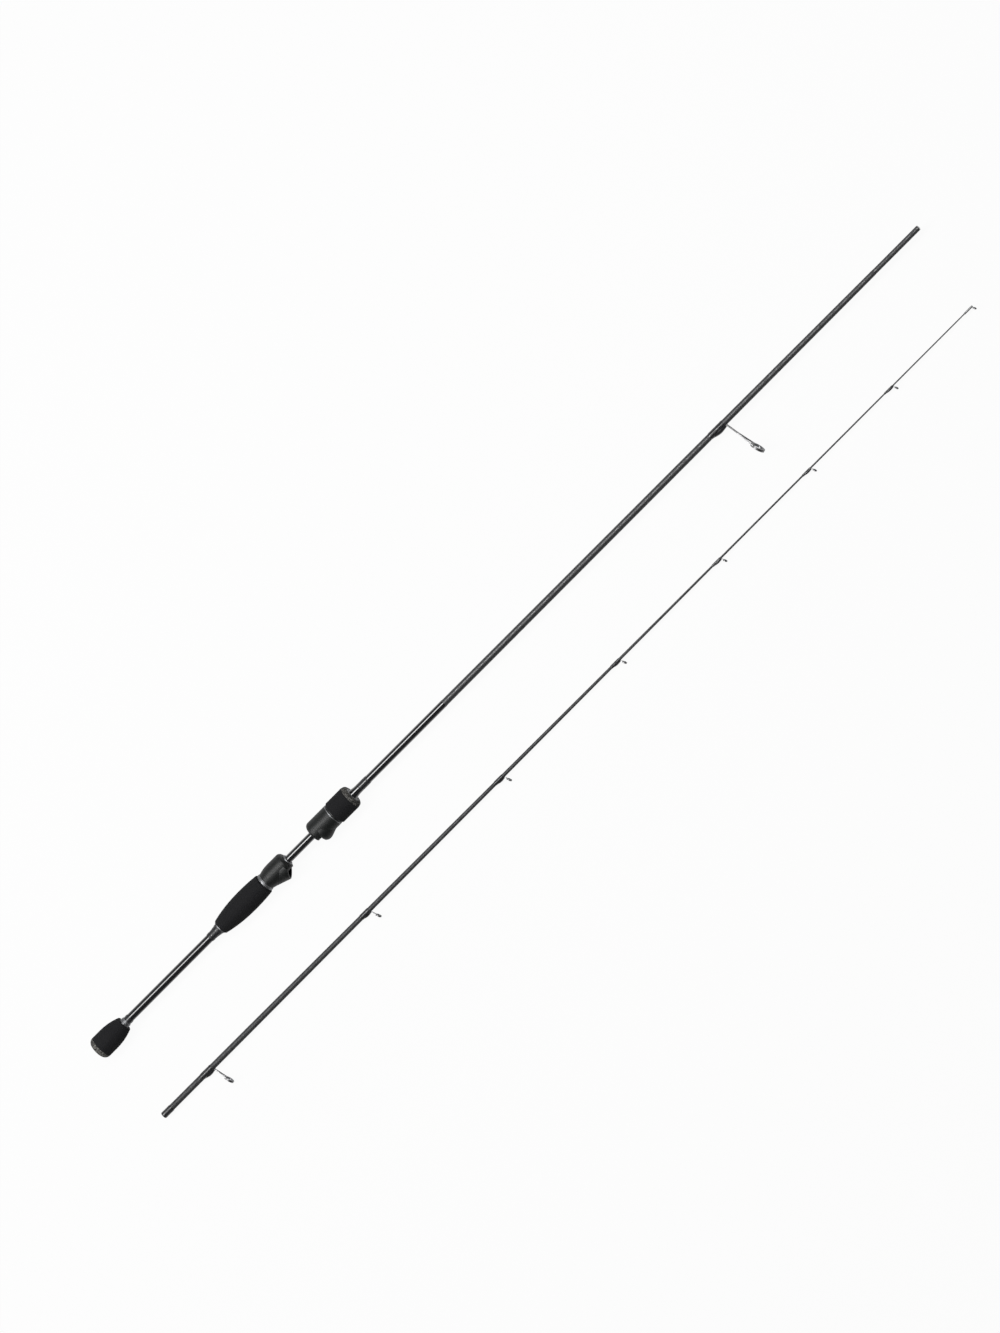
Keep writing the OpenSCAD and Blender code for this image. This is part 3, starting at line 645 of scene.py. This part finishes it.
def add_camera(stage):
    """A very long lens, so that the rod's far and near parts keep one scale."""
    normal = Vector((math.sin(stage.tilt), 0, math.cos(stage.tilt)))
    along = Vector((math.cos(stage.tilt), 0, -math.sin(stage.tilt)))
    across = Vector((0, 1, 0))
    right = along * math.cos(stage.turn) - across * math.sin(stage.turn)
    up = along * math.sin(stage.turn) + across * math.cos(stage.turn)
    data = bpy.data.cameras.new("Camera")
    data.lens = stage.lens
    data.sensor_width = SENSOR
    data.clip_end = 200
    camera = bpy.data.objects.new("Camera", data)
    distance = data.lens / data.sensor_width * stage.view_height
    spot = Vector((*stage.centre, 0)) + normal * distance
    camera.matrix_world = placed(spot, right, up, normal)
    bpy.context.scene.collection.objects.link(camera)
    bpy.context.scene.camera = camera


def floor_finish(stage):
    """Pale matte paint, lifted to white for the eye and, less so, for reflections."""
    paint = Finish("Floor", roughness=0.9, specular_ior_level=0.1)
    mottle = paint.noise(60, 3)
    tone = stage.floor_tone
    paint.set(base_color=paint.blend(mottle, (tone * 0.97,) * 3, (tone,) * 3))
    rays = paint.node("ShaderNodeLightPath", output="Is Camera Ray")
    mirrored = rays.output("Is Glossy Ray").maths("MAXIMUM", rays.output("Is Transmission Ray"))
    seen = (rays * stage.floor_lift).maths("MAXIMUM", mirrored * stage.floor_mirror)
    white = paint.node("ShaderNodeEmission", {"Color": (1, 1, 1), "Strength": 1.0})
    lit = Value(paint, paint.shader.outputs["BSDF"])
    mix = paint.node("ShaderNodeMixShader", {0: seen, 1: lit, 2: white})
    paint.tree.links.new(mix.socket, paint.surface)
    return paint.material


def add_floor(stage):
    """A wide floor, close under the rod."""
    height = CAD_BOX[0].z - FLOOR_GAP
    ways = ((-1, -1), (1, -1), (1, 1), (-1, 1))
    corners = [(x * HORIZON, y * HORIZON, height) for x, y in ways]
    mesh = bpy.data.meshes.new("Floor")
    mesh.from_pydata(corners, [], [(0, 1, 2, 3)])
    mesh.materials.append(floor_finish(stage))
    floor = bpy.data.objects.new("Floor", mesh)
    bpy.context.scene.collection.objects.link(floor)


def add_lamp(name, watts, size, spot, target):
    """A rectangular lamp, long along X, that faces its target."""
    data = bpy.data.lights.new(name, "AREA")
    data.shape = "RECTANGLE"
    data.size, data.size_y = size
    data.energy = watts
    lamp = bpy.data.objects.new(name, data)
    facing = (Vector(spot) - Vector(target)).normalized()
    side = Vector((1, 0, 0))
    up = facing.cross(side).normalized()
    side = up.cross(facing)
    lamp.matrix_world = placed(spot, side, up, facing)
    lamp.visible_camera = False
    bpy.context.scene.collection.objects.link(lamp)


def add_world(strength):
    """Dim light from all round, and white behind the floor's edge."""
    world = bpy.data.worlds.new("Surroundings")
    world.use_nodes = True
    graph = Graph(world.node_tree)
    seen = graph.node("ShaderNodeLightPath", output="Is Camera Ray")
    background = graph.node("ShaderNodeBackground", {
        "Color": (1, 1, 1), "Strength": seen.between(strength, 1.0),
    })
    graph.node("ShaderNodeOutputWorld", {"Surface": background})
    bpy.context.scene.world = world


# ---- Operators ----

class ROD_OT_foam_grips(bpy.types.Operator):
    """Dresses the foam grips"""

    bl_idname = "rod.foam_grips"
    bl_label = "Foam grips"

    def execute(self, context):
        dress(nodes_in("foam"), foam_finish(context.scene.rod_finishes))
        return {"FINISHED"}


class ROD_OT_end_caps(bpy.types.Operator):
    """Dresses the rubber-cork end caps"""

    bl_idname = "rod.end_caps"
    bl_label = "End caps"

    def execute(self, context):
        dress(nodes_in("rubber_cork"), cork_finish(context.scene.rod_finishes))
        return {"FINISHED"}


class ROD_OT_bright_rings(bpy.types.Operator):
    """Dresses the satin rings of the handle"""

    bl_idname = "rod.bright_rings"
    bl_label = "Bright rings"

    def execute(self, context):
        dress(nodes_in("bright_metal"), bright_finish(context.scene.rod_finishes))
        return {"FINISHED"}


class ROD_OT_lacquered_parts(bpy.types.Operator):
    """Dresses the handle tube, its cones and the spigot's plug"""

    bl_idname = "rod.lacquered_parts"
    bl_label = "Lacquered parts"

    def execute(self, context):
        colours = context.scene.rod_finishes
        dress(nodes_in("gloss_black"), lacquer_finish(colours))
        dress(["grip_cone"], cone_finish(colours))
        return {"FINISHED"}


class ROD_OT_blanks(bpy.types.Operator):
    """Dresses the two tapered carbon blanks"""

    bl_idname = "rod.blanks"
    bl_label = "Blanks"

    def execute(self, context):
        colours = context.scene.rod_finishes
        for node, axis, ior, dullness, blotches in (
            ("butt_blank", BUTT_AXIS, 1.65, (0.26, 0.52), 0.34),
            ("tip_blank", TIP_AXIS, 1.5, (0.52, 0.46), 0.16),
        ):
            low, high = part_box(node)
            name = node.replace("_", " ").capitalize()
            radius = 0.4 * (high.y - low.y) / MM  # near the middle of the taper
            material = carbon_finish(name, colours, axis, radius, ior, dullness, blotches)
            dress([node], material)
        return {"FINISHED"}


class ROD_OT_reel_seat(bpy.types.Operator):
    """Dresses the reel seat's hoods, barrel and nut"""

    bl_idname = "rod.reel_seat"
    bl_label = "Reel seat"

    def execute(self, context):
        dress(nodes_in("soft_plastic"), plastic_finish(context.scene.rod_finishes))
        return {"FINISHED"}


class ROD_OT_line_guides(bpy.types.Operator):
    """Dresses the line guides' frames and their ceramic rings"""

    bl_idname = "rod.line_guides"
    bl_label = "Line guides"

    def execute(self, context):
        dress(nodes_in("titanium"), titanium_finish(context.scene.rod_finishes))
        dress(nodes_in("ceramic"), ceramic_finish(context.scene.rod_finishes))
        return {"FINISHED"}


class ROD_OT_windings(bpy.types.Operator):
    """Dresses the windings and lays their turns of thread"""

    bl_idname = "rod.windings"
    bl_label = "Windings"

    def execute(self, context):
        settings = context.scene.rod_windings
        colours = context.scene.rod_finishes
        dress(nodes_in("winding"), resin_finish("Resin over thread", colours, settings.thread))
        material = resin_finish("Thread", colours, settings.thread)
        tree, names = thread_turns()
        for body in ("butt_section", "tip_section"):
            meshes = [
                turns_over(node, tree, names, settings, material)
                for node in nodes_in("winding") if body_of(node) == body
            ]
            piece = joined(body.replace("section", "threads"), meshes)
            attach(piece, body)
        return {"FINISHED"}


class ROD_OT_stage(bpy.types.Operator):
    """Adds the camera, the floor and the lamps"""

    bl_idname = "rod.stage"
    bl_label = "Stage"

    def execute(self, context):
        stage = context.scene.rod_stage
        context.scene.view_settings.view_transform = "Standard"
        add_camera(stage)
        add_floor(stage)
        middle = (0.5, -0.03, 0)
        add_lamp(
            "Strip", stage.strip_power, size=(3.6, 0.55), spot=(0.1, 0.62, 1.45), target=middle
        )
        add_lamp(
            "Soft", stage.soft_power, size=(3.0, 2.0), spot=(-0.6, 1.6, 2.4), target=middle
        )
        add_world(stage.surround)
        return {"FINISHED"}


class ROD_PT_panel(bpy.types.Panel):
    """Lists the rod's settings and steps"""

    bl_idname = "ROD_PT_panel"
    bl_label = "Spinning rod"
    bl_space_type = "VIEW_3D"
    bl_region_type = "UI"
    bl_category = "Rod"

    def draw(self, context):
        for owner in ("rod_finishes", "rod_windings", "rod_stage"):
            settings = getattr(context.scene, owner)
            box = self.layout.box()
            for name in settings.__annotations__:
                box.prop(settings, name)
        for step in STEPS:
            self.layout.operator(step.bl_idname)


STEPS = [
    ROD_OT_stage, ROD_OT_foam_grips, ROD_OT_end_caps, ROD_OT_bright_rings,
    ROD_OT_lacquered_parts, ROD_OT_blanks, ROD_OT_reel_seat, ROD_OT_line_guides,
    ROD_OT_windings,
]
SETTINGS = {"rod_finishes": RodFinishes, "rod_windings": RodWindings, "rod_stage": RodStage}


def register():
    for kind in (*SETTINGS.values(), *STEPS, ROD_PT_panel):
        bpy.utils.register_class(kind)
    for name, kind in SETTINGS.items():
        setattr(bpy.types.Scene, name, PointerProperty(type=kind))


def unregister():
    for name in SETTINGS:
        delattr(bpy.types.Scene, name)
    for kind in reversed((*SETTINGS.values(), *STEPS, ROD_PT_panel)):
        bpy.utils.unregister_class(kind)


def main():
    register()
    for step in STEPS:
        group, name = step.bl_idname.split(".")
        getattr(getattr(bpy.ops, group), name)()


if __name__ == "__main__":
    main()
